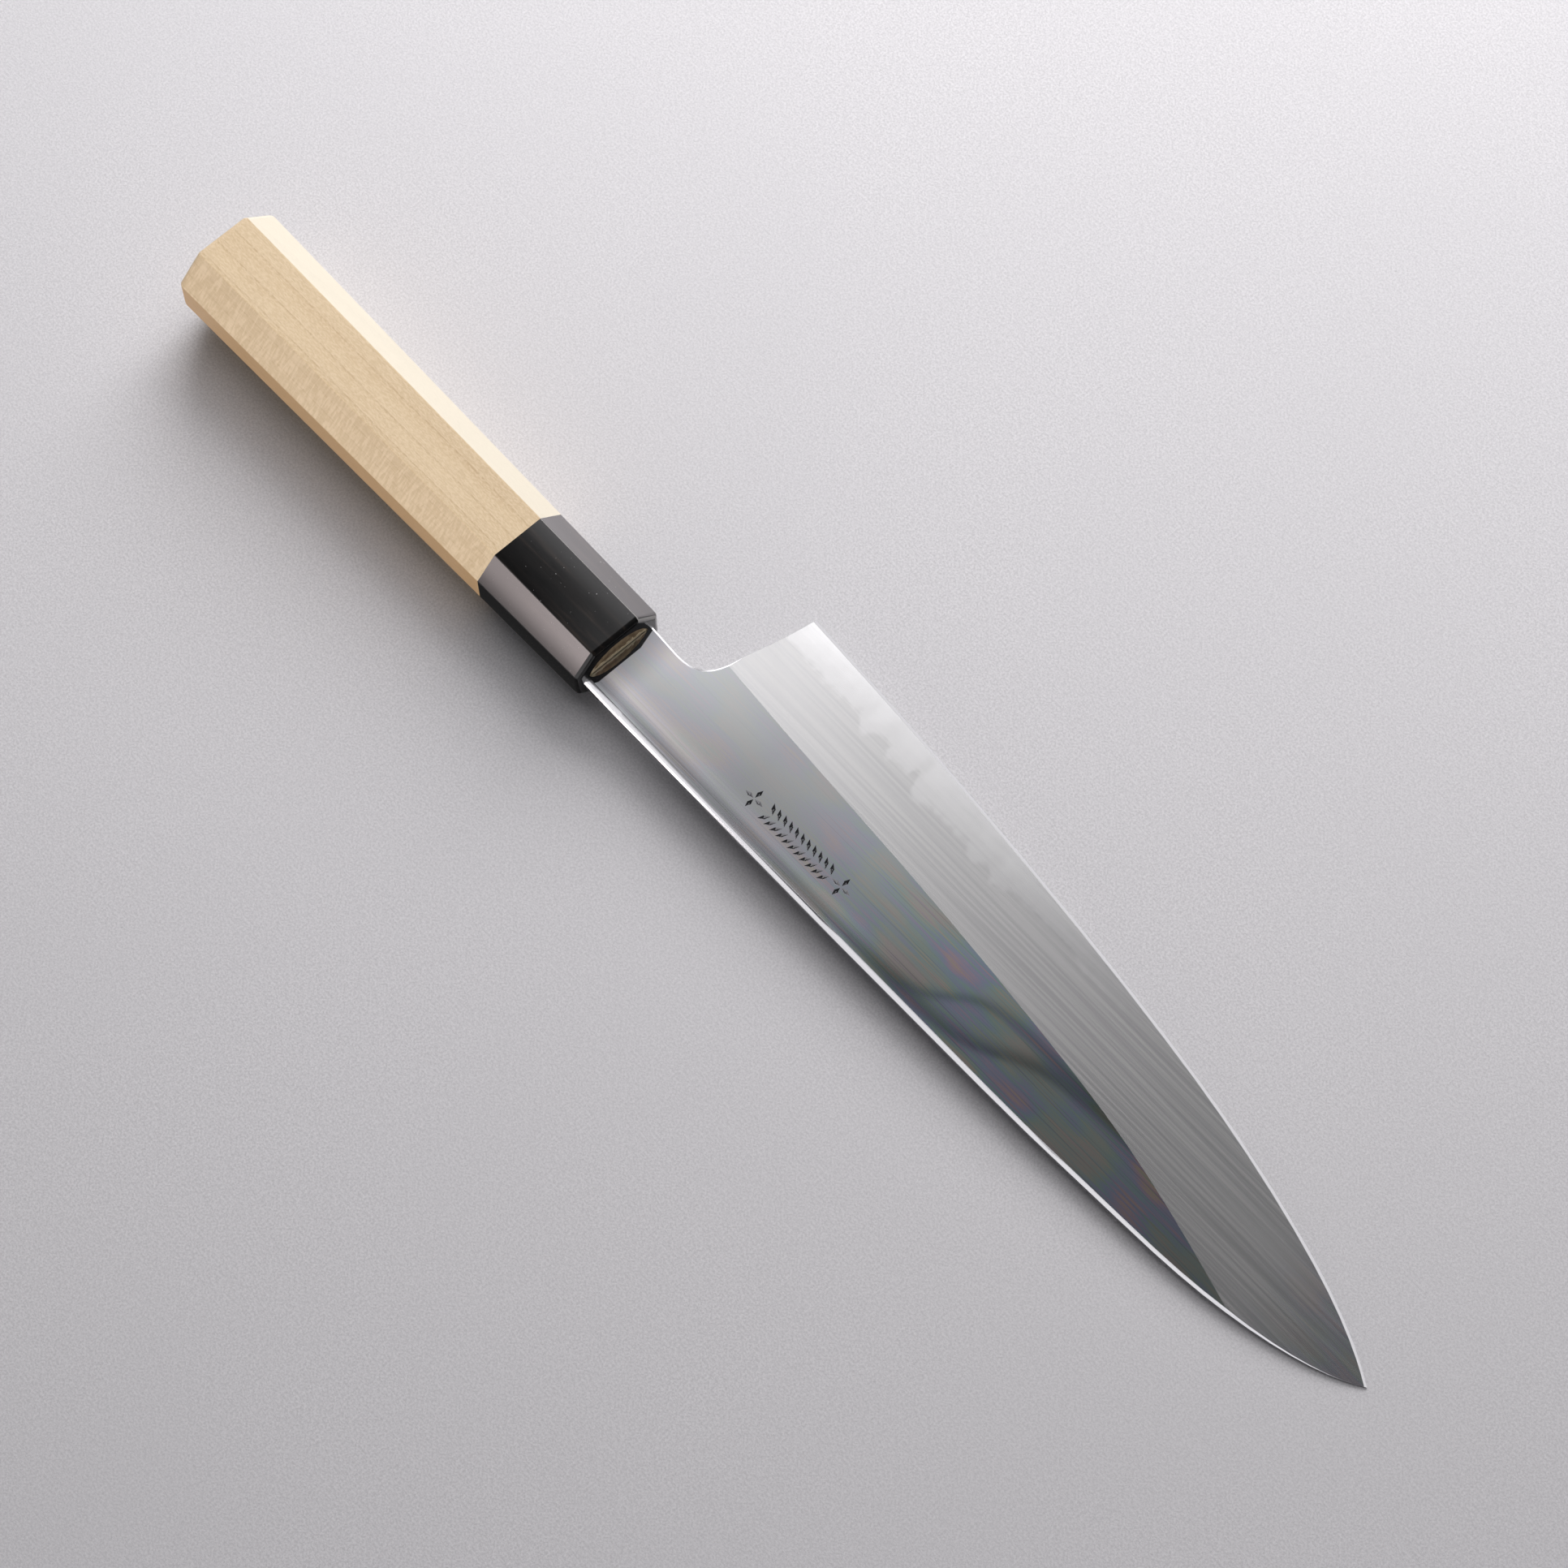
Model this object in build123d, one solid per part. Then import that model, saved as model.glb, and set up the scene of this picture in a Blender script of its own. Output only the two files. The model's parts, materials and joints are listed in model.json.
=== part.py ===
"""Chef knife (Japanese gyuto) with an octagonal handle, lying on its right side.

Each piece is first made in the knife's own axes, in millimetres: +X from the butt to the tip, +Y towards the
cutting edge, +Z out of the blade's left side, and the origin at the centre of the ferrule's front face. The whole
knife is then laid down: it pitches until the ferrule's front edge and the tip both touch the table, and it moves
until the origin is at the middle of its bounding box, on the table.
"""
import os
from math import asin, atan2, cos, degrees, hypot, radians

from build123d import *

# ---- driving dimensions (mm), in the knife's own axes ----

# octagonal handle: across the flats at the ferrule's front face and at the butt
FRONT_WIDTH = 23.8
FRONT_HEIGHT = 18.2
FRONT_BEVEL = 5.3
BUTT_WIDTH = 27.4
BUTT_HEIGHT = 21.6
BUTT_BEVEL = 6.7
HANDLE_LENGTH = 137.6
FERRULE_LENGTH = 33.6
FERRULE_FRONT_ROUND = 1.3
BUTT_ROUND = 2.0
CORNER_ROUND = 0.5

# oval wooden tenon that passes through the ferrule
TENON_WIDTH = 17.8
TENON_HEIGHT = 13.4
TENON_CLEARANCE = 0.05

# tang
TANG_LENGTH = 95.0
TANG_ROOT_HEIGHT = 14.4
TANG_ROOT_THICKNESS = 3.0
TANG_END_HEIGHT = 6.0
TANG_END_THICKNESS = 2.0
TANG_INTO_NECK = 2.0
SLOT_CLEARANCE = 0.1

# seal round the tang at the mouth of its slot, sunk a little below the tenon's end
SEAL_WIDTH = 15.8
SEAL_HEIGHT = 4.2
SEAL_DEPTH = 5.0
SEAL_SUNK = 0.1

# blade thickness between its flats, how fast it thins towards the tip, and the stock ground off each flat
NECK_THICKNESS = 3.4
DISTAL_TAPER = 0.0096
FLAT_STOCK = 0.02

# eased spine: the bevelled shoulder's width and depth, and its crown, as shares of the thickness there
SHOULDER_WIDTH = 0.5
SHOULDER_DEPTH = 0.3
SHOULDER_CROWN = 0.045

# cutting edge: the micro-bevel's width, its thickness where it starts, and the land that it leaves
MICRO_BEVEL = 0.7
BEVEL_HALF_THICKNESS = 0.2
EDGE_HALF_THICKNESS = 0.03
TIP_HALF_THICKNESS = 0.17

# the blade's long curves: x, then the y of the spine, of the ridge line and of the cutting edge
STATIONS = [
    (0, -10.45, 17.0, 39.1),
    (25, -10.5, 15.4, 37.95),
    (60, -10.5, 13.2, 35.95),
    (95, -10.4, 11.0, 33.2),
    (125, -10.15, 8.35, 30.2),
    (150, -9.65, 5.5, 27.05),
    (175, -8.65, 0.9, 22.95),
    (195, -7.15, -4.1, 18.5),
    (212, -4.15, -8.8, 13.65),
    (225, -0.1, -12.6, 8.6),
    (236, 6.5, -16.0, 2.4),
]
TIP = (233.1, 4.2)

# neck and choil, from the ferrule to the heel
NECK_ROOT = (0.0, 9.75)
NECK_WAIST = (8.5, 9.3)
THROAT = (15.4, 10.85)
CHOIL_TOP = (19.2, 18.6)
CHOIL_MIDDLE = (21.2, 27.1)
HEEL = (23.1, 38.05)

# the eased edge of the neck starts this far from the middle plane, and leans inwards by these steps
EASE_START = 1.36
EASE_LEAN = (0.5, -0.6, 0.4)

# plain ornament chiselled in the left flat: a row of chevrons with a rosette of four petals at each end
ORNAMENT_Y = -1.3
ROSETTES_X = (46.6, 75.0)
PETAL_DISTANCE = 1.5
PETAL = (1.25, 0.55)
CHEVRONS_X = (51.4, 70.6)
CHEVRONS = 11
CHEVRON_ANGLE = 53.0
CHEVRON_GAP = 0.2
CHEVRON_ARM = (1.5, 0.5)
MARK_DEPTH = 0.28
MARK_FLOOR = 0.15

# how far the blade's cutting shapes reach: along Y from the middle, and beyond a surface that they cut
SIDE_REACH = 60.0
TALL = 8.0

# how far a shape runs into its neighbour before the two are joined, or past a face that it cuts through
OVERLAP = 1.0


def half_thickness(x):
    return (NECK_THICKNESS - DISTAL_TAPER * x) / 2


def section_plane(x):
    """A plane across the knife at x, whose own x and y are the knife's Y and Z."""
    return Plane(origin=(x, 0, 0), x_dir=(0, 1, 0), z_dir=(1, 0, 0))


def octagon_corners(x):
    """The eight corners of the handle's section at x, in order round it."""
    share = -x / HANDLE_LENGTH
    half_width = (FRONT_WIDTH + share * (BUTT_WIDTH - FRONT_WIDTH)) / 2
    half_height = (FRONT_HEIGHT + share * (BUTT_HEIGHT - FRONT_HEIGHT)) / 2
    bevel = FRONT_BEVEL + share * (BUTT_BEVEL - FRONT_BEVEL)
    flat, side = half_width - bevel, half_height - bevel
    quarter = [(half_width, side), (flat, half_height)]
    half = quarter + [(-y, z) for y, z in reversed(quarter)]
    return [Vector(x, y, z) for y, z in half + [(-y, -z) for y, z in half]]


def faceted_bar(back, front):
    """A closed bar with flat sides between two outlines whose corners match in order."""
    faces = [Face(Wire.make_polygon(back)), Face(Wire.make_polygon(front))]
    for i in range(len(back)):
        j = (i + 1) % len(back)
        faces.append(Face(Wire.make_polygon([back[i], back[j], front[j], front[i]])))
    return Solid(Shell(faces))


def octagonal_bar(x_back, x_front):
    """A closed octagonal bar with flat, tapering sides."""
    return faceted_bar(octagon_corners(x_back), octagon_corners(x_front))


def end_edges(bar, x):
    """The bar's edges that lie in the plane across the knife at x."""
    return bar.edges().filter_by_position(Axis.X, x - 0.01, x + 0.01)


def long_edges(bar):
    """The bar's eight lengthwise corners."""
    return [edge for edge in bar.edges() if edge.length > FERRULE_LENGTH / 2]


def oval_bar(x_back, x_front, width, height):
    oval = section_plane(x_back) * Ellipse(width / 2, height / 2)
    return extrude(oval, x_front - x_back)


def flat_bar(x_back, x_front, grow=0.0):
    """The tang's tapering bar between two stations, grown on every side by grow."""
    ends = []
    for x in (x_back, x_front):
        share = -x / TANG_LENGTH
        height = TANG_ROOT_HEIGHT + share * (TANG_END_HEIGHT - TANG_ROOT_HEIGHT)
        thickness = TANG_ROOT_THICKNESS + share * (TANG_END_THICKNESS - TANG_ROOT_THICKNESS)
        ends.append(section_plane(x) * Rectangle(height + 2 * grow, thickness + 2 * grow))
    return loft(ends)


def seal_block(x_front):
    """A block from the seal's back face to x_front, as wide and as high as the slot's mouth."""
    length = SEAL_DEPTH + x_front
    return Pos((x_front - SEAL_DEPTH) / 2, 0, 0) * Box(length, SEAL_WIDTH, SEAL_HEIGHT)


def flat_section(x, spine_y):
    """The blade's section as forged: nearly parallel flats, with their stock still on, and an eased spine."""
    half = half_thickness(x) + FLAT_STOCK
    shoulder_y = spine_y + SHOULDER_WIDTH * 2 * half
    shoulder_z = half - SHOULDER_DEPTH * 2 * half
    crown = SHOULDER_CROWN * 2 * half
    middle = ((spine_y + shoulder_y) / 2 - crown, (half + shoulder_z) / 2 + crown)
    upper = ThreePointArc((shoulder_y, half), middle, (spine_y, shoulder_z))
    lower = ThreePointArc((spine_y, -shoulder_z), (middle[0], -middle[1]), (shoulder_y, -half))
    outline = [
        Line((SIDE_REACH, half), (shoulder_y, half)),
        upper,
        Line((spine_y, shoulder_z), (spine_y, -shoulder_z)),
        lower,
        Line((shoulder_y, -half), (SIDE_REACH, -half)),
        Line((SIDE_REACH, -half), (SIDE_REACH, half)),
    ]
    return section_plane(x) * make_face(outline)


def between_flats():
    """The wedge between the two planes that the flats are ground to."""
    start, end = STATIONS[0][0], STATIONS[-1][0]
    corners = [
        (start, half_thickness(start)),
        (end, half_thickness(end)),
        (end, -half_thickness(end)),
        (start, -half_thickness(start)),
    ]
    return extrude(Plane.XZ * make_face(Polyline(corners, close=True)), SIDE_REACH, both=True)


def bevel_section(x, ridge_y, edge_y, side):
    """What grinding takes off one side at x: the wide bevel, and the micro-bevel along the cutting edge."""
    corners = [
        (ridge_y, half_thickness(x)),
        (edge_y - MICRO_BEVEL, BEVEL_HALF_THICKNESS),
        (edge_y, EDGE_HALF_THICKNESS),
        (edge_y + TALL, EDGE_HALF_THICKNESS),
        (edge_y + TALL, TALL),
        (ridge_y, TALL),
    ]
    return section_plane(x) * make_face(Polyline([(y, side * z) for y, z in corners], close=True))


def neck_and_choil():
    """The curves from the ferrule to the heel: the neck, the round throat and the choil."""
    neck = Line(NECK_ROOT, NECK_WAIST)
    throat = Spline([NECK_WAIST, THROAT, CHOIL_TOP], tangents=[neck % 1, (0.17, 1)])
    choil = Spline([CHOIL_TOP, CHOIL_MIDDLE, HEEL], tangents=[(0.17, 1), (0.14, 1)])
    return [neck, throat, choil]


def blade_outline():
    """The blade's side view on the neck, choil and edge; it reaches past the spine, which has its own shape."""
    edge_points = [HEEL] + [(x, edge) for x, _, _, edge in STATIONS if HEEL[0] + 5 < x < TIP[0]] + [TIP]
    below = min(spine for _, spine, _, _ in STATIONS) - TALL
    corners = [TIP, (TIP[0], below), (NECK_ROOT[0], below), NECK_ROOT]
    return make_face(neck_and_choil() + [Spline(edge_points), Polyline(corners)])


def neck_easing():
    """What is taken off the left side to ease the neck's edge, fading out past the ridge line."""
    behind, beyond = -TANG_INTO_NECK, HEEL[1] + TALL
    corners = [HEEL, (HEEL[0], beyond), (behind, beyond), (behind, NECK_ROOT[1]), NECK_ROOT]
    outside = make_face(neck_and_choil() + [Polyline(corners)])
    return extrude(Pos(0, 0, EASE_START) * outside, Vector(*EASE_LEAN).length, dir=EASE_LEAN)


def chisel_mark(x, y, size, angle):
    """What one stroke takes off the left flat: a lozenge-shaped pit with sloping walls and a small floor."""
    half_length, half_width = size
    corners = [(half_length, 0), (0, half_width), (-half_length, 0), (0, -half_width)]
    levels = []
    for share, rise in ((MARK_FLOOR, -MARK_DEPTH), (2 - MARK_FLOOR, MARK_DEPTH)):
        level = [Vector(x, y) + Vector(share * a, share * b).rotate(Axis.Z, angle) for a, b in corners]
        levels.append([Vector(p.X, p.Y, half_thickness(p.X) + rise) for p in level])
    return faceted_bar(*levels)


def ornament():
    """All the chisel marks: the two rosettes, and the chevrons that point to the tip."""
    marks = []
    for x in ROSETTES_X:
        for angle in (0, 90, 180, 270):
            petal = Vector(PETAL_DISTANCE, 0).rotate(Axis.Z, angle)
            marks.append(chisel_mark(x + petal.X, ORNAMENT_Y + petal.Y, PETAL, angle))
    first, last = CHEVRONS_X
    offset = CHEVRON_GAP + CHEVRON_ARM[0] * cos(radians(90 - CHEVRON_ANGLE))
    for i in range(CHEVRONS):
        x = first + i * (last - first) / (CHEVRONS - 1)
        for side in (1, -1):
            marks.append(chisel_mark(x, ORNAMENT_Y + side * offset, CHEVRON_ARM, -side * CHEVRON_ANGLE))
    return marks


def make_blade():
    body = loft([flat_section(x, spine) for x, spine, _, _ in STATIONS])
    body &= between_flats()
    body &= extrude(blade_outline(), TALL, both=True)
    easing = neck_easing()
    for side, cut in ((1, easing), (-1, mirror(easing, about=Plane.XY))):
        body -= cut
        body -= loft([bevel_section(x, ridge, edge, side) for x, _, ridge, edge in STATIONS])
    body -= ornament()
    return body + flat_bar(-TANG_LENGTH, TANG_INTO_NECK)


def make_ferrule():
    bar = octagonal_bar(-FERRULE_LENGTH, 0)
    bar = fillet(long_edges(bar), CORNER_ROUND)
    bar = fillet(end_edges(bar, 0), FERRULE_FRONT_ROUND)
    return bar - oval_bar(-FERRULE_LENGTH, 0, TENON_WIDTH, TENON_HEIGHT)


def make_handle():
    bar = octagonal_bar(-HANDLE_LENGTH, -FERRULE_LENGTH)
    bar = fillet(long_edges(bar), CORNER_ROUND)
    bar = fillet(end_edges(bar, -HANDLE_LENGTH), BUTT_ROUND)
    width, height = TENON_WIDTH - 2 * TENON_CLEARANCE, TENON_HEIGHT - 2 * TENON_CLEARANCE
    bar += oval_bar(-FERRULE_LENGTH - OVERLAP, 0, width, height)
    bar -= flat_bar(-TANG_LENGTH - OVERLAP, OVERLAP, SLOT_CLEARANCE)
    return bar - seal_block(OVERLAP)


def make_seal(blade):
    return seal_block(-SEAL_SUNK) - blade


def rest_pitch():
    """How far the knife tips forward, in degrees, for the round of the ferrule and the tip to share a table."""
    reach = TIP[0] + FERRULE_FRONT_ROUND
    drop = FRONT_HEIGHT / 2 - FERRULE_FRONT_ROUND - TIP_HALF_THICKNESS
    return degrees(atan2(drop, reach) + asin(FERRULE_FRONT_ROUND / hypot(drop, reach)))


def on_the_table(pieces):
    """The pieces pitched and moved together, so that the origin is under the middle of their bounding box."""
    laid = {name: Rot(0, rest_pitch(), 0) * piece for name, piece in pieces.items()}
    box = laid["blade"].bounding_box()
    for piece in laid.values():
        box = box.add(piece.bounding_box())
    middle = box.center()
    return {name: Pos(-middle.X, -middle.Y, -box.min.Z) * piece for name, piece in laid.items()}


blade = make_blade()
pieces = {
    "blade": blade,
    "ferrule": make_ferrule(),
    "handle": make_handle(),
    "tang_seal": make_seal(blade),
}
os.makedirs("parts", exist_ok=True)
for name, piece in on_the_table(pieces).items():
    export_step(piece, f"parts/{name}.step")
    print(name, round(piece.volume, 1), piece.bounding_box())
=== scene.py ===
import json
from math import atan2, cos, radians, sin

import bpy
from mathutils import Matrix, Vector

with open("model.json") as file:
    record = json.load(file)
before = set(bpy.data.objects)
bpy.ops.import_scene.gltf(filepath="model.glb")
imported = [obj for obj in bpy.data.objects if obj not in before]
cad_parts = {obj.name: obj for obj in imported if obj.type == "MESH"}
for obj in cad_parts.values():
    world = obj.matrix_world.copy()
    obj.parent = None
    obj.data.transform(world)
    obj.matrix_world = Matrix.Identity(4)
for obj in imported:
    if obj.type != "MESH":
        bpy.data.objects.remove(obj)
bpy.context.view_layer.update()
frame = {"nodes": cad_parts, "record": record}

# ---- the knife's own axes: +X butt to tip, +Y towards the edge, +Z out of the left side, in millimetres ----

MM = 0.001
MOUNTS = {mount["name"]: mount for mount in frame["record"]["mounts"]}
REST_FACES_X = -85.0  # where the handle's two rest faces have their points


def tilt(name, side):
    """How far a rack face's normal leans from straight up or down, towards the tip."""
    x, _, z = MOUNTS[name]["axis"]
    return atan2(side * x, side * z)


PITCH = (tilt("rack_face_left", 1) + tilt("rack_face_right", -1)) / 2
TURN = Matrix.Rotation(PITCH, 4, "Y")
MIDDLE = (Vector(MOUNTS["rest_face"]["pos_m"]) + Vector(MOUNTS["upper_rest_face"]["pos_m"])) / 2
KNIFE = Matrix.Translation(MIDDLE) @ TURN @ Matrix.Translation((-REST_FACES_X * MM, 0, 0))


def knife_point(x, y, z):
    """A point given in the knife's millimetres, in the row frame."""
    return KNIFE @ (Vector((x, y, z)) * MM)


# ---- camera ----

CAMERA_AIM = Vector((0.0014, -0.0067, 0.010))
CAMERA_DISTANCE = 1.2435
CAMERA_AZIMUTH = radians(-35.83)
CAMERA_ELEVATION = radians(64.22)
CAMERA_ROLL = radians(-6.54)
CAMERA_LENS = 130.4


def look_along(place, aim):
    """The turn of a camera or light at place whose -Z points at aim."""
    return (aim - place).to_track_quat("-Z", "Y").to_matrix().to_4x4()


def away(azimuth, elevation):
    """The direction that an azimuth from +X and an elevation name."""
    return Vector((cos(azimuth) * cos(elevation), sin(azimuth) * cos(elevation), sin(elevation)))


def make_camera():
    data = bpy.data.cameras.new("camera")
    data.sensor_width = 36.0
    data.lens = CAMERA_LENS
    data.clip_start = 0.05
    data.clip_end = 20.0
    camera = bpy.data.objects.new("camera", data)
    bpy.context.scene.collection.objects.link(camera)
    place = CAMERA_AIM + CAMERA_DISTANCE * away(CAMERA_AZIMUTH, CAMERA_ELEVATION)
    roll = Matrix.Rotation(CAMERA_ROLL, 4, "Z")
    camera.matrix_world = Matrix.Translation(place) @ look_along(place, CAMERA_AIM) @ roll
    bpy.context.scene.camera = camera


# ---- node helpers ----

class Graph:
    """One node tree, with short calls for the nodes used here."""

    def __init__(self, tree):
        self.tree = tree
        tree.nodes.clear()

    def node(self, kind, inputs=None, **settings):
        made = self.tree.nodes.new(kind)
        for name, value in settings.items():
            setattr(made, name, value)
        for key, value in (inputs or {}).items():
            self.feed(made.inputs[key], value)
        return made

    def feed(self, socket, value):
        if isinstance(value, bpy.types.NodeSocket):
            self.tree.links.new(value, socket)
        else:
            socket.default_value = value

    def math(self, operation, *values, clamp=False):
        inputs = dict(enumerate(values))
        return self.node("ShaderNodeMath", inputs, operation=operation, use_clamp=clamp).outputs[0]

    def step(self, value, start, end, low=0.0, high=1.0):
        """A smooth step from low at start to high at end."""
        inputs = {"Value": value, "From Min": start, "From Max": end, "To Min": low, "To Max": high}
        return self.node("ShaderNodeMapRange", inputs, interpolation_type="SMOOTHSTEP").outputs["Result"]

    def line(self, value, start, end, low=0.0, high=1.0):
        """A straight ramp from low at start to high at end."""
        inputs = {"Value": value, "From Min": start, "From Max": end, "To Min": low, "To Max": high}
        return self.node("ShaderNodeMapRange", inputs).outputs["Result"]

    def within(self, value, low, high, soft):
        """1 between low and high, 0 outside, with soft ends that lie inside."""
        return self.math("MULTIPLY", self.step(value, low, low + soft), self.step(value, high, high - soft))

    def stretch(self, vector, x, y, z):
        """The vector with each axis multiplied, for patterns longer one way than another."""
        inputs = {0: vector, 1: (x, y, z)}
        return self.node("ShaderNodeVectorMath", inputs, operation="MULTIPLY").outputs[0]

    def noise(self, vector, detail=2.0, roughness=0.5, distortion=0.0):
        inputs = {"Vector": vector, "Scale": 1.0, "Detail": detail, "Roughness": roughness}
        inputs["Distortion"] = distortion
        return self.node("ShaderNodeTexNoise", inputs).outputs["Fac"]

    def mix(self, factor, first, second, blend="MIX"):
        made = self.node("ShaderNodeMix", data_type="RGBA", blend_type=blend)
        self.feed(made.inputs["Factor"], factor)
        self.feed(made.inputs[6], first)
        self.feed(made.inputs[7], second)
        return made.outputs[2]

    def blend(self, factor, first, second):
        """A number between first and second."""
        made = self.node("ShaderNodeMix", data_type="FLOAT")
        self.feed(made.inputs["Factor"], factor)
        self.feed(made.inputs[2], first)
        self.feed(made.inputs[3], second)
        return made.outputs[0]

    def ramp(self, factor, stops, interpolation="LINEAR"):
        made = self.node("ShaderNodeValToRGB", {"Fac": factor})
        made.color_ramp.interpolation = interpolation
        elements = made.color_ramp.elements
        while len(elements) < len(stops):
            elements.new(1.0)
        for element, (position, colour) in zip(elements, stops):
            element.position = position
            element.color = colour if len(colour) == 4 else (*colour, 1)
        return made.outputs["Color"]

    def bump(self, height, distance, strength=1.0, normal=None):
        inputs = {"Height": height, "Distance": distance, "Strength": strength}
        if normal is not None:
            inputs["Normal"] = normal
        return self.node("ShaderNodeBump", inputs).outputs[0]

    def split(self, vector):
        return self.node("ShaderNodeSeparateXYZ", {0: vector}).outputs

    def surface(self, shader):
        self.node("ShaderNodeOutputMaterial", {"Surface": shader})


def new_graph(name):
    material = bpy.data.materials.new(name)
    material.use_nodes = True
    return material, Graph(material.node_tree)


def knife_axes(graph):
    """The shaded point in the knife's own axes, in millimetres."""
    point = graph.node("ShaderNodeTexCoord").outputs["Object"]
    inputs = {"Vector": point, "Location": knife_point(0, 0, 0), "Rotation": (0, PITCH, 0)}
    inputs["Scale"] = (MM, MM, MM)
    return graph.node("ShaderNodeMapping", inputs, vector_type="TEXTURE").outputs[0]


def facing(graph):
    """The surface's own normal, split; its Y is the same in the knife's axes."""
    return graph.split(graph.node("ShaderNodeTexCoord").outputs["Normal"])


def dress(node, material):
    """Gives a CAD node its finished material."""
    for slot in frame["nodes"][node].material_slots:
        slot.material = material


# ---- blade ----

# the cloudy line on the wide bevel: x along the knife and its height y above the middle line, in mm
CLOUD_LINE = [
    (20, 31.0), (43, 29.6), (47, 30.0), (50, 27.2), (55, 30.2), (59, 27.6), (64, 27.8), (65.7, 29.8),
    (68.4, 25.2), (75, 25.8), (85, 26.3), (88, 24.5), (92, 25.8), (96.5, 24.2), (102, 25.8), (125, 25.0),
]
CLOUD_REACH = (20.0, 125.0)
CLOUD_HEIGHTS = (20.0, 35.0)
CLOUD_WAVER = 1.1
CLOUD_FADES_FROM, CLOUD_ENDS = 95, 160
ORNAMENT_X = (43.5, 78.5)
ORNAMENT_Y = (-5.6, 2.6)
LEFT_FLAT_X = 0.038  # the X of the left flat's normal, in the row frame
TINTS_FROM, TINTS_FULL = 45, 112


def cloud_height(graph, x):
    """The cloudy line's y at x."""
    start, end = CLOUD_REACH
    low, high = CLOUD_HEIGHTS
    made = graph.node("ShaderNodeFloatCurve", {"Value": graph.line(x, start, end)})
    curve = made.mapping.curves[0]
    while len(curve.points) < len(CLOUD_LINE):
        curve.points.new(0.5, 0.5)
    for point, (along, height) in zip(curve.points, CLOUD_LINE):
        point.location = ((along - start) / (end - start), (height - low) / (high - low))
    made.mapping.update()
    return graph.line(made.outputs[0], 0, 1, low, high)


def spectrum(graph, mm):
    """Thin lengthwise streaks of orange, purple, blue and green, as an oil film leaves on polished steel."""
    patches = graph.noise(graph.stretch(mm, 0.050, 0.13, 0.13), detail=2)
    streaks = graph.noise(graph.stretch(mm, 0.024, 2.0, 2.0), detail=4, roughness=0.7)
    film = graph.math("ADD", graph.math("MULTIPLY", patches, 2.4), graph.math("MULTIPLY", streaks, 1.7))
    return graph.ramp(graph.math("FRACT", film), [
        (0.00, (0.40, 0.64, 0.66)), (0.16, (0.42, 0.52, 0.80)), (0.32, (0.62, 0.50, 0.72)),
        (0.46, (0.78, 0.54, 0.56)), (0.60, (0.80, 0.64, 0.46)), (0.74, (0.62, 0.66, 0.50)),
        (0.88, (0.42, 0.66, 0.54)), (1.00, (0.40, 0.64, 0.66)),
    ])


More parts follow.
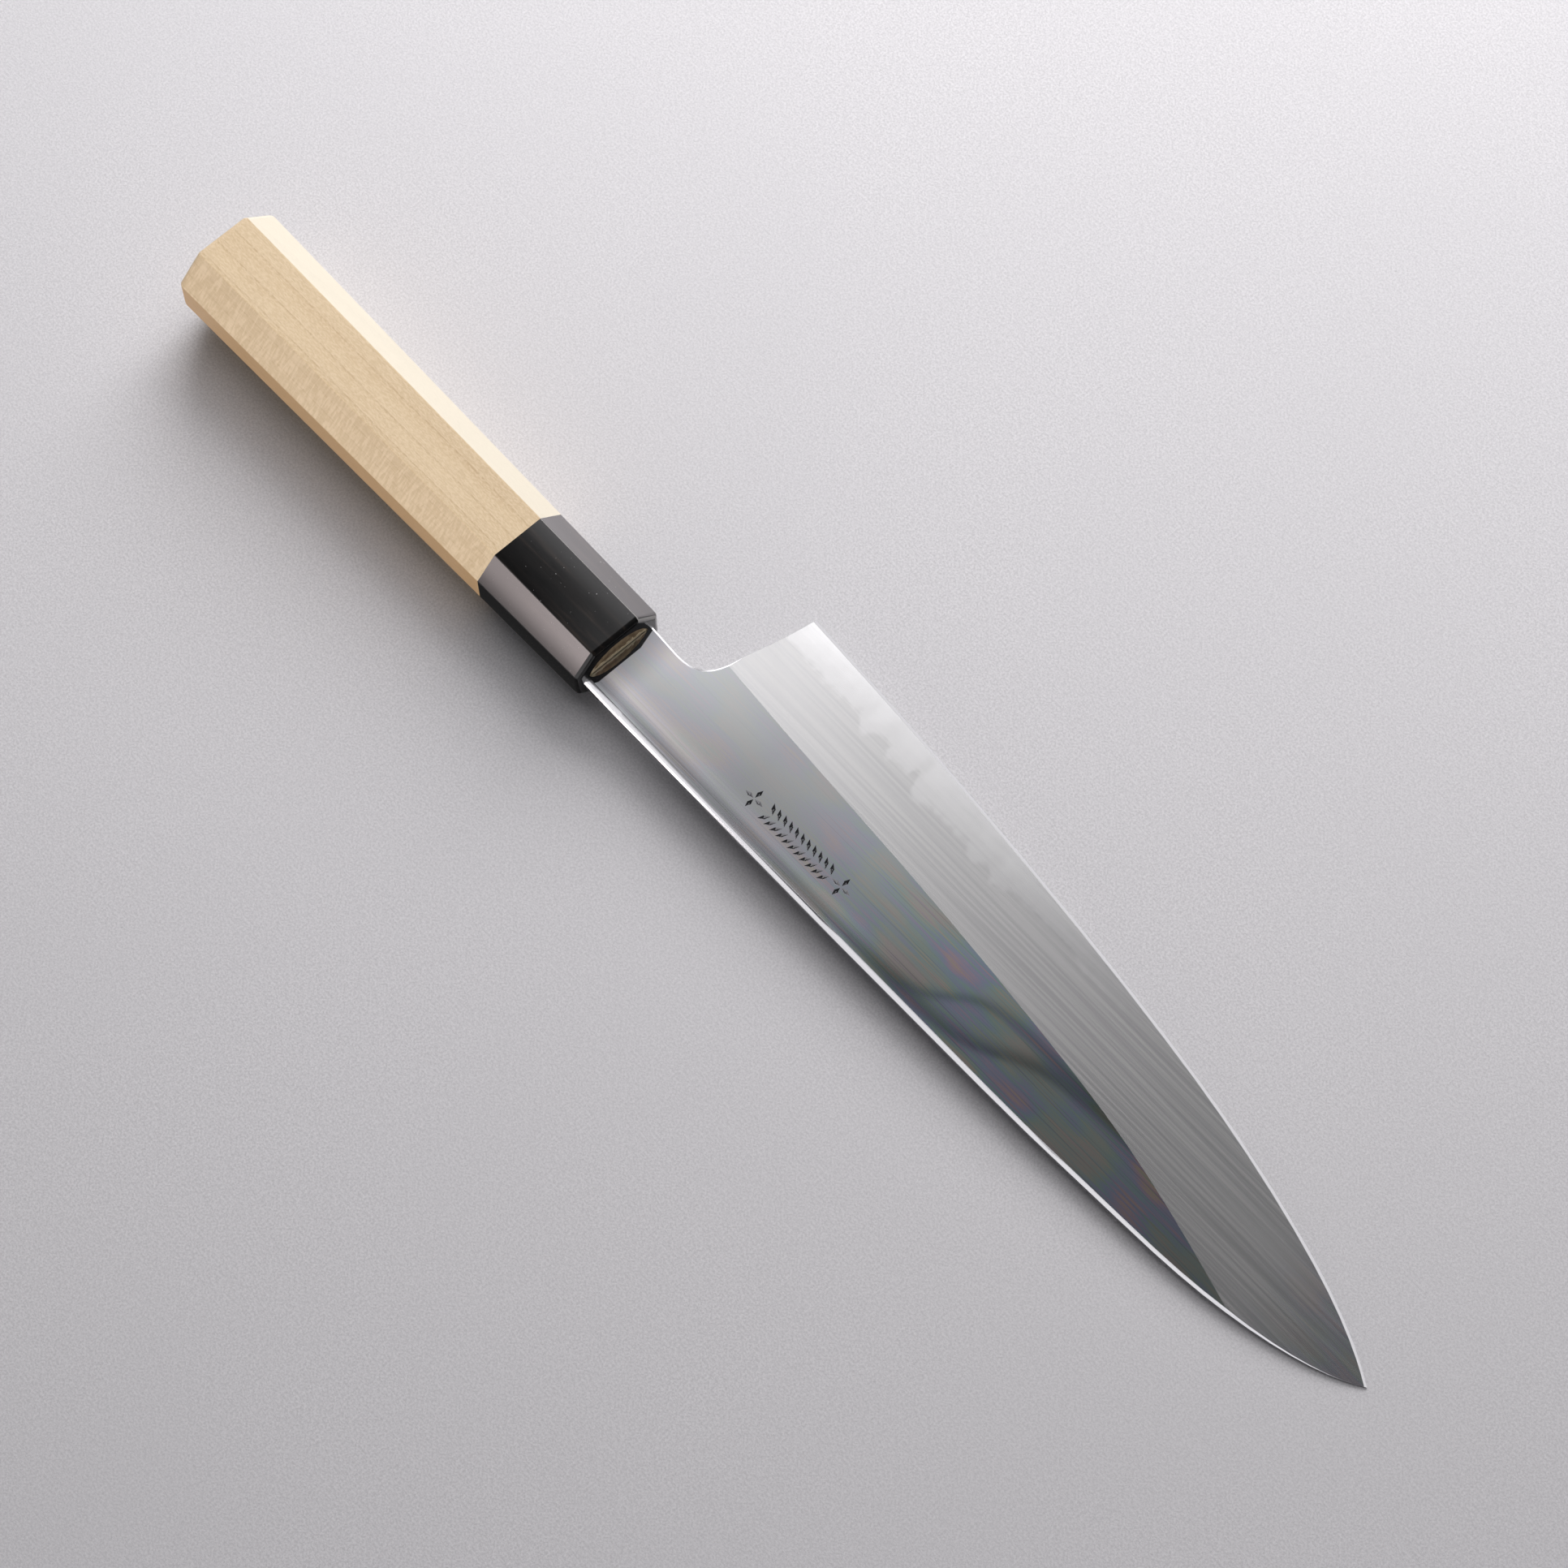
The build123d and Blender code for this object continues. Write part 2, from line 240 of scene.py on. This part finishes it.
def steel():
    material, g = new_graph("blade_steel_finish")
    mm = knife_axes(g)
    x, y, z = g.split(mm)
    lean_x, lean, _ = facing(g)
    on_bevel = g.step(lean, 0.012, 0.026)
    on_edge = g.step(lean, 0.12, 0.18)
    on_spine = g.step(lean, -0.06, -0.12)

    # the polished flat: faint tints that grow towards the tip, and hairlines that only just show
    plain = (0.62, 0.62, 0.625, 1)
    tinted = g.step(x, TINTS_FROM, TINTS_FULL, 0.14, 0.70)
    patches = g.noise(g.stretch(mm, 0.05, 0.12, 0.12), detail=1)
    tinted = g.math("MULTIPLY", tinted, g.step(patches, 0.32, 0.55, 0.45, 1.0))
    tints = g.mix(tinted, plain, spectrum(g, mm))
    hairs = g.noise(g.stretch(mm, 0.02, 2.6, 2.6), detail=3, roughness=0.6)
    hair = g.math("MULTIPLY", g.step(hairs, 0.56, 0.68, 0.0, 0.45), g.step(x, 30, 120, 0.12, 1.0))
    tints = g.mix(hair, tints, (0.34, 0.34, 0.38, 1))
    flat_rough = g.line(hairs, 0.3, 0.7, 0.018, 0.035)

    # the satin bevel: fine lengthwise lines, and the cloudy line with lighter steel beyond it
    lines = g.noise(g.stretch(mm, 0.012, 1.5, 1.5), detail=1, roughness=0.6)
    sweeps = g.noise(g.stretch(mm, 0.02, 0.5, 0.5), detail=2)
    waver = g.noise(g.stretch(mm, 0.30, 0.30, 0.30), detail=4)
    beyond = g.math("SUBTRACT", y, cloud_height(g, x))
    beyond = g.math("ADD", beyond, g.line(waver, 0.3, 0.7, -CLOUD_WAVER, CLOUD_WAVER))
    cloud = g.math("MULTIPLY_ADD", g.step(beyond, -1.2, 0.9), 0.50, g.step(beyond, 0.0, 9.0, 0.0, 0.50))
    cloud = g.math("MULTIPLY", cloud, g.step(x, CLOUD_ENDS, CLOUD_FADES_FROM))
    satin = g.mix(g.step(lines, 0.30, 0.70), (0.570, 0.570, 0.575, 1), (0.660, 0.658, 0.655, 1))
    satin = g.mix(g.step(sweeps, 0.3, 0.7, 0.0, 0.35), satin, (0.66, 0.66, 0.66, 1))
    satin = g.mix(cloud, satin, (0.80, 0.80, 0.805, 1))
    satin_rough = g.line(lines, 0.3, 0.7, 0.23, 0.27)

    # the pits of the ornament, in the left flat alone, are rough, and their dark colour is painted shade for
    # their shaded walls
    in_band = g.math("MULTIPLY", g.within(x, *ORNAMENT_X, 0.2), g.within(y, *ORNAMENT_Y, 0.2))
    in_band = g.math("MULTIPLY", in_band, g.step(z, 0.0, 0.2))
    off_flat = g.math("ABSOLUTE", g.math("SUBTRACT", lean_x, LEFT_FLAT_X))
    sloping = g.math("ADD", g.math("ABSOLUTE", lean), off_flat)
    pit = g.math("MULTIPLY", in_band, g.step(sloping, 0.03, 0.08))

    colour = g.mix(on_bevel, tints, satin)
    colour = g.mix(on_edge, colour, (0.45, 0.45, 0.46, 1))
    colour = g.mix(on_spine, colour, (0.64, 0.64, 0.66, 1))
    colour = g.mix(pit, colour, (0.20, 0.20, 0.21, 1))
    rough = g.blend(on_bevel, flat_rough, satin_rough)
    rough = g.blend(on_edge, rough, 0.16)
    rough = g.blend(on_spine, rough, 0.17)
    rough = g.blend(pit, rough, 0.24)
    relief = g.math("MULTIPLY", lines, g.math("MAXIMUM", on_bevel, on_spine))
    normal = g.bump(relief, 0.000006, 0.30)
    across = g.node("ShaderNodeCombineXYZ", {"Y": 1.0}).outputs[0]
    shader = g.node("ShaderNodeBsdfPrincipled", {
        "Base Color": colour, "Metallic": 1.0, "Roughness": rough, "Anisotropic": 0.6,
        "Tangent": across, "Normal": normal,
    })
    g.surface(shader.outputs[0])
    return material


# ---- horn ----

# a facet is shaded as if it curved down by this, in mm, times the squared distance from the middle line
FACET_CROWN = 0.0032


def horn():
    material, g = new_graph("horn_finish")
    mm = knife_axes(g)
    _, y, z = g.split(mm)
    streaks = g.noise(g.stretch(mm, 0.035, 0.5, 0.5), detail=4, roughness=0.6, distortion=0.4)
    fine = g.noise(g.stretch(mm, 0.25, 7.0, 7.0), detail=2)
    dust = g.noise(g.stretch(mm, 2.2, 2.2, 2.2), detail=1)
    colour = g.ramp(streaks, [
        (0.38, (0.0014, 0.0013, 0.0013)), (0.48, (0.0026, 0.0024, 0.0023)), (0.57, (0.0050, 0.0040, 0.0036)),
        (0.68, (0.020, 0.0145, 0.0110)),
    ])
    colour = g.mix(g.step(dust, 0.775, 0.805), colour, (0.35, 0.35, 0.35, 1))
    # painted highlight: corners that lean towards the edge are given a lighter colour that stands in for the
    # glint of the lights on them: two long ones and part of the front chamfer
    _, normal_y, _ = facing(g)
    painted_glint = g.math("MULTIPLY", g.step(normal_y, 0.12, 0.25), g.step(normal_y, 0.62, 0.50))
    colour = g.mix(painted_glint, colour, (0.30, 0.29, 0.28, 1))
    rough = g.line(fine, 0.3, 0.7, 0.09, 0.13)
    bulge = g.math("MULTIPLY_ADD", y, y, g.math("MULTIPLY", z, z))
    bulge = g.math("MULTIPLY", bulge, -FACET_CROWN * MM)
    relief = g.math("ADD", bulge, g.math("MULTIPLY", g.math("ADD", fine, streaks), 0.000002))
    normal = g.bump(relief, 1.0, 1.0)
    shader = g.node("ShaderNodeBsdfPrincipled", {
        "Base Color": colour, "Roughness": rough, "IOR": 1.54, "Normal": normal,
    })
    g.surface(shader.outputs[0])
    return material


# ---- wood ----

RING_LEAN = radians(45)  # the growth rings stand square to the upper bevel on the spine's side
RING_WIDTH = 3.1
TENON_END_FROM = -2.5  # x of the tenon's end, coloured dark brown: partly end grain browned by the hot tang, partly painted shade
SMEAR_HALF_HEIGHT, SMEAR_HALF_WIDTH = 2.9, 7.6  # the wax smeared round the slot, from the middle line


def magnolia():
    material, g = new_graph("magnolia_finish")
    mm = knife_axes(g)
    x, y, z = g.split(mm)
    drift = g.noise(g.stretch(mm, 0.006, 0.05, 0.05), detail=2)
    depth = g.math("ADD", g.math("MULTIPLY", y, cos(RING_LEAN)), g.math("MULTIPLY", z, sin(RING_LEAN)))
    depth = g.math("ADD", depth, g.line(drift, 0.0, 1.0, -1.6, 1.6))
    phase = g.math("FRACT", g.math("DIVIDE", depth, RING_WIDTH))
    late = g.math("MULTIPLY", g.step(phase, 0.86, 0.96), g.step(phase, 1.0, 0.975))
    bright_side = g.step(phase, 0.0, 0.9, 1.0, 0.0)
    fibres = g.noise(g.stretch(mm, 0.10, 3.2, 3.2), detail=4, roughness=0.7)
    speckle = g.noise(g.stretch(mm, 0.9, 2.6, 2.6), detail=3, roughness=0.7)
    pores = g.noise(g.stretch(mm, 0.5, 7.0, 7.0), detail=2)
    broad = g.noise(g.stretch(mm, 0.015, 0.12, 0.12), detail=2)
    figure = g.noise(g.stretch(mm, 1.5, 0.30, 0.30), detail=2, roughness=0.5, distortion=0.3)
    figure_rows = g.noise(g.stretch(mm, 0.05, 0.8, 0.8), detail=1)
    _, normal_y, normal_z = facing(g)
    radial = g.math("SUBTRACT", g.math("MULTIPLY", normal_z, sin(RING_LEAN)),
                    g.math("MULTIPLY", normal_y, cos(RING_LEAN)))
    on_radial = g.step(g.math("ABSOLUTE", radial), 0.75, 0.95)

    colour = g.ramp(broad, [
        (0.30, (0.545, 0.405, 0.248)), (0.5, (0.590, 0.448, 0.280)), (0.70, (0.620, 0.480, 0.308)),
    ])
    colour = g.mix(g.math("MULTIPLY", late, 0.48), colour, (0.40, 0.275, 0.15, 1))
    colour = g.mix(g.math("MULTIPLY", bright_side, 0.12), colour, (0.72, 0.60, 0.43, 1))
    colour = g.mix(g.step(fibres, 0.65, 0.35, 0.0, 0.26), colour, (0.46, 0.33, 0.195, 1))
    colour = g.mix(g.step(speckle, 0.40, 0.62, 0.0, 0.42), colour, (0.74, 0.60, 0.42, 1))
    colour = g.mix(g.step(pores, 0.62, 0.72, 0.0, 0.30), colour, (0.32, 0.215, 0.12, 1))
    fleck = g.math("MULTIPLY", g.step(figure, 0.42, 0.62), on_radial)
    fleck = g.math("MULTIPLY", fleck, g.step(figure_rows, 0.25, 0.55, 0.35, 1.0))
    colour = g.mix(g.math("MULTIPLY", on_radial, 0.45), colour, (0.72, 0.515, 0.295, 1))
    colour = g.mix(g.math("MULTIPLY", fleck, 0.30), colour, (0.92, 0.73, 0.50, 1))
    # painted shade: the facet on the spine's side is given a browner, darker colour for the shade it stands
    # in; painted sheen: the two bevels on the edge's side are given a greyer, paler colour for the lights
    # washing them out
    painted_shade_side = g.step(normal_y, -0.85, -0.97)
    colour = g.mix(g.math("MULTIPLY", painted_shade_side, 0.75), colour, (0.54, 0.315, 0.14, 1))
    painted_sheen_bevels = g.math("MULTIPLY", g.step(normal_y, 0.45, 0.65), g.step(normal_y, 0.95, 0.80))
    colour = g.mix(g.math("MULTIPLY", painted_sheen_bevels, 0.80), colour, (0.655, 0.62, 0.515, 1))
    # partly painted shade: the tenon's end is coloured darker, partly for its charred end grain and partly
    # for the shade on that end
    tenon_end = g.step(x, TENON_END_FROM, TENON_END_FROM + 1.0)
    char_and_shade = g.ramp(g.noise(g.stretch(mm, 0.6, 0.6, 0.6), detail=3), [
        (0.35, (0.20, 0.125, 0.060)), (0.65, (0.46, 0.33, 0.185)),
    ])
    colour = g.mix(tenon_end, colour, char_and_shade)
    # wax smeared past the lips of the slot
    ragged = g.noise(g.stretch(mm, 0.9, 0.9, 0.9), detail=3)
    from_slot = g.math("ADD", g.math("ABSOLUTE", z), g.line(ragged, 0.3, 0.7, -0.7, 0.7))
    over_lips = g.step(from_slot, SMEAR_HALF_HEIGHT + 0.4, SMEAR_HALF_HEIGHT)
    smear = g.step(g.math("ABSOLUTE", y), SMEAR_HALF_WIDTH + 0.8, SMEAR_HALF_WIDTH)
    smear = g.math("MULTIPLY", over_lips, smear)
    colour = g.mix(g.math("MULTIPLY", smear, tenon_end), colour, (0.90, 0.74, 0.48, 1))
    rough = g.blend(fleck, g.line(fibres, 0.3, 0.7, 0.46, 0.56), 0.38)
    height = g.math("ADD", g.math("MULTIPLY", speckle, 0.8), g.math("MULTIPLY", fibres, 0.5))
    height = g.math("SUBTRACT", height, g.step(pores, 0.62, 0.72, 0.0, 0.5))
    height = g.math("ADD", height, g.math("MULTIPLY", fleck, 0.5))
    normal = g.bump(height, 0.00006, 0.6)
    shader = g.node("ShaderNodeBsdfPrincipled", {
        "Base Color": colour, "Roughness": rough, "IOR": 1.5, "Normal": normal,
    })
    g.surface(shader.outputs[0])
    return material


def wax():
    material, g = new_graph("wax_finish")
    mm = knife_axes(g)
    cloud = g.noise(g.stretch(mm, 0.8, 0.8, 0.8), detail=4)
    colour = g.ramp(cloud, [(0.35, (0.66, 0.55, 0.40)), (0.65, (0.86, 0.77, 0.62))])
    rough = g.line(cloud, 0.3, 0.7, 0.35, 0.5)
    normal = g.bump(cloud, 0.0001, 0.4)
    shader = g.node("ShaderNodeBsdfPrincipled", {
        "Base Color": colour, "Roughness": rough, "Normal": normal,
    })
    g.surface(shader.outputs[0])
    return material


# ---- stage ----

def paper():
    material, g = new_graph("paper")
    point = g.node("ShaderNodeTexCoord").outputs["Object"]
    mottle = g.noise(g.stretch(point, 1900, 1900, 1900), detail=3, roughness=0.75)
    broad = g.noise(g.stretch(point, 9, 9, 9), detail=3)
    fibre = g.noise(g.stretch(point, 420, 420, 420), detail=1, distortion=2.5)
    colour = g.mix(g.step(mottle, 0.3, 0.7), (0.585, 0.574, 0.590, 1), (0.765, 0.752, 0.770, 1))
    colour = g.mix(g.step(broad, 0.3, 0.7, 0.0, 0.3), colour, (0.65, 0.642, 0.66, 1))
    colour = g.mix(g.step(fibre, 0.80, 0.86, 0.0, 0.5), colour, (0.45, 0.44, 0.45, 1))
    normal = g.bump(mottle, 0.0001, 0.55)
    shader = g.node("ShaderNodeBsdfPrincipled", {
        "Base Color": colour, "Roughness": 0.85, "Specular IOR Level": 0.0, "Normal": normal,
    })
    g.surface(shader.outputs[0])
    return material


FLOOR_HALF = 1.6


def sheet(name, corners, material):
    mesh = bpy.data.meshes.new(name)
    mesh.from_pydata(corners, [], [tuple(range(len(corners)))])
    piece = bpy.data.objects.new(name, mesh)
    bpy.context.scene.collection.objects.link(piece)
    mesh.materials.append(material)
    return piece


def make_floor():
    reach, level = FLOOR_HALF, -0.00005
    corners = [(-reach, -reach, level), (reach, -reach, level), (reach, reach, level), (-reach, reach, level)]
    return sheet("floor", corners, paper())


def glow(name, build, colour=(1.0, 0.985, 1.0, 1)):
    """An emission material whose strength build() makes from a point in metres."""
    material, g = new_graph(name)
    point = g.node("ShaderNodeTexCoord").outputs["Object"]
    shader = g.node("ShaderNodeEmission", {"Strength": build(g, point), "Color": colour})
    g.surface(shader.outputs[0])
    return material


def reflected_only(card):
    card.visible_camera = False
    card.visible_diffuse = False
    card.visible_shadow = False
    card.visible_transmission = False


def upright_card(name, start, end, bottom, top, material):
    """A card standing on the line from start to end, seen only in reflections."""
    (x0, y0), (x1, y1) = start, end
    corners = [(x0, y0, bottom), (x1, y1, bottom), (x1, y1, top), (x0, y0, top)]
    reflected_only(sheet(name, corners, material))


def flat_card(name, corner, opposite, level, material):
    """A level card, seen only in reflections."""
    (x0, y0), (x1, y1) = corner, opposite
    corners = [(x0, y0, level), (x1, y0, level), (x1, y1, level), (x0, y1, level)]
    reflected_only(sheet(name, corners, material))


OVERHEAD_HEIGHT = 1.0
FOLD_RISE = 0.0095
# each dark fold on the card: its middle x and y, how slowly it bends, its reach either way, what is left
FOLDS = [
    (-0.179, 0.2540, 0.010, 0.0026, 0.0048, 0.45),
    (-0.147, 0.2520, 0.016, 0.0018, 0.0085, 0.36),
]


def overhead_strength(g, point):
    """Light over the heel, dark over the tip, lighter to the edge's side, with two soft dark folds."""
    x, y, _ = g.split(point)
    along = g.ramp(g.line(x, -0.60, 0.20), [
        (0.0, (0.36,) * 3), (0.22, (0.36,) * 3), (0.27, (0.40,) * 3), (0.295, (0.74,) * 3),
        (0.37, (0.46,) * 3), (0.455, (0.345,) * 3), (0.50, (0.268,) * 3), (0.58, (0.175,) * 3),
        (0.70, (0.125,) * 3), (0.875, (0.085,) * 3),
    ])
    across = g.ramp(g.line(y, 0.14, 0.44), [
        (0.0, (0.14,) * 3), (0.17, (0.26,) * 3), (0.33, (0.36,) * 3), (0.387, (0.40,) * 3),
        (0.44, (0.50,) * 3), (0.60, (0.66,) * 3), (1.0, (0.80,) * 3),
    ])
    strength = g.math("MULTIPLY", g.math("MULTIPLY", along, across), 2.5)
    over_heel = g.math("MULTIPLY", g.step(y, 0.30, 0.38), g.step(x, -0.375, -0.305, 0.40, 0.0))
    over_neck = g.math("MULTIPLY", g.step(y, 0.2505, 0.239), g.step(x, -0.195, -0.235, 0.0, 0.95))
    strength = g.math("MULTIPLY", strength, g.math("ADD", over_heel, 1.0))
    strength = g.math("MULTIPLY", strength, g.math("ADD", over_neck, 1.0))
    for middle_x, middle_y, bend, lower, upper, left in FOLDS:
        bent = g.math("ARCTANGENT", g.math("DIVIDE", g.math("SUBTRACT", x, middle_x), bend))
        fold_y = g.math("MULTIPLY_ADD", bent, FOLD_RISE, middle_y)
        off = g.math("SUBTRACT", y, fold_y)
        dark = g.math("MULTIPLY", g.step(off, -lower, 0.0), g.step(off, upper, 0.0))
        strength = g.math("MULTIPLY", strength, g.line(dark, 0.0, 1.0, 1.0, left))
    over_horn = g.step(x, -0.362, -0.385)
    strength = g.math("MULTIPLY", strength, g.blend(over_horn, 1.0, g.step(y, 0.18, 0.27, 0.20, 0.78)))
    strength = g.math("MULTIPLY_ADD", g.math("MULTIPLY", over_horn, g.step(y, 0.27, 0.345)), 1.2, strength)
    return g.blend(g.step(y, 0.55, 0.80), strength, 1.6)


def make_overhead():
    flat_card("overhead_card", (-1.2, -0.25), (0.6, 1.3), OVERHEAD_HEIGHT,
              glow("overhead_glow", overhead_strength))


def even(strength):
    """A card of one brightness, a little cloudy."""
    def build(g, point):
        cloud = g.noise(g.stretch(point, 6, 6, 6), detail=2)
        return g.line(cloud, 0.3, 0.7, 0.9 * strength, 1.1 * strength)
    return build


# low cards, upright, each from one end to the other along the floor, with its lower and upper height
LOW_CARDS = [
    ("left_wall", (-0.70, -0.62), (0.45, -0.62), 0.0, 1.05, 1.15),
    ("right_wall", (-0.95, 0.10), (-0.70, 0.75), 0.0, 0.22, 3.0),
    ("far_wall", (-0.70, 0.75), (0.40, 0.95), 0.0, 0.22, 3.0),
]
# three more for the horn: a strip and shade on the spine's side, and a bed on the edge's side
STRIP_COLOUR = (1.0, 0.87, 0.865, 1)
BED_COLOUR = (1.0, 0.94, 0.97, 1)
STRIP = ((-0.52, -0.46), (-0.17, -0.46), 0.080, 0.19)
BED = ((-0.24, 0.012), (-0.040, 0.20), 0.0004)
SHADE = ((-0.092, -0.036), (-0.046, -0.0125), 0.0004)
SHADE_STRENGTH = 0.05


def strip_strength(g, point):
    """What the horn's upper bevel on the spine's side shows: dimmer low down and towards the butt."""
    x, _, z = g.split(point)
    low = g.step(z, 0.098, 0.140, 0.22, 1.0)
    return g.math("MULTIPLY", low, g.line(x, -0.25, -0.19, 5.6, 8.2))


def bed_strength(g, point):
    """What the horn's upper bevel on the edge's side shows: brighter towards the butt and further out."""
    x, y, _ = g.split(point)
    return g.math("MULTIPLY", g.line(x, -0.12, -0.06, 2.75, 2.15), g.step(y, 0.03, 0.09, 0.85, 1.05))


def make_cards():
    for name, start, end, bottom, top, strength in LOW_CARDS:
        upright_card(name, start, end, bottom, top, glow(name + "_glow", even(strength)))
    upright_card("left_strip", *STRIP, glow("left_strip_glow", strip_strength, STRIP_COLOUR))
    flat_card("bed_card", *BED, glow("bed_glow", bed_strength, BED_COLOUR))
    flat_card("shade_card", *SHADE, glow("shade_glow", even(SHADE_STRENGTH)))


# soft lights: name, place, what it points at, size, watts and colour
LIGHTS = [
    ("key", (-0.42, 0.64, 0.49), (0, 0, 0), (0.85, 0.60), 9.0, (1.0, 0.985, 0.995)),
    ("top", (-0.18, 0.28, 1.10), (-0.05, 0.02, 0), (1.1, 0.9), 4.4, (1.0, 0.985, 1.0)),
    ("fill", (-0.12, -0.80, 0.30), (-0.06, 0, 0.01), (1.2, 0.35), 0.45, (1.0, 0.97, 0.95)),
    ("wood_fill", (0.02, -0.68, 0.42), (-0.07, 0, 0.01), (0.4, 0.35), 3.4, (1, 1, 1)),
    ("floor_light", (-0.38, 0.42, 0.30), (-0.05, 0.06, 0), (0.5, 0.5), 0.55, (1, 1, 1)),
]


def area_light(name, place, aim, size, power, colour):
    """A soft light that reflections don't show."""
    data = bpy.data.lights.new(name, "AREA")
    data.shape = "RECTANGLE"
    data.size, data.size_y = size
    data.energy = power
    data.color = colour
    light = bpy.data.objects.new(name, data)
    bpy.context.scene.collection.objects.link(light)
    place = Vector(place)
    light.matrix_world = Matrix.Translation(place) @ look_along(place, Vector(aim))
    light.visible_glossy = False
    return light


def only_on(light, receiver):
    """Keeps a light to one object."""
    group = bpy.data.collections.new(light.name + "_receivers")
    group.objects.link(receiver)
    light.light_linking.receiver_collection = group


def make_lights(floor):
    lights = {settings[0]: area_light(*settings) for settings in LIGHTS}
    only_on(lights["wood_fill"], frame["nodes"]["handle"])
    only_on(lights["floor_light"], floor)


def make_world():
    world = bpy.data.worlds.new("studio")
    bpy.context.scene.world = world
    world.use_nodes = True
    background = world.node_tree.nodes["Background"]
    background.inputs["Color"].default_value = (0.95, 0.96, 1.0, 1)
    background.inputs["Strength"].default_value = 0.08


bpy.context.scene.view_settings.view_transform = "Standard"
make_camera()
make_world()
make_overhead()
make_cards()
make_lights(make_floor())
dress("blade", steel())
dress("ferrule", horn())
dress("handle", magnolia())
dress("tang_seal", wax())
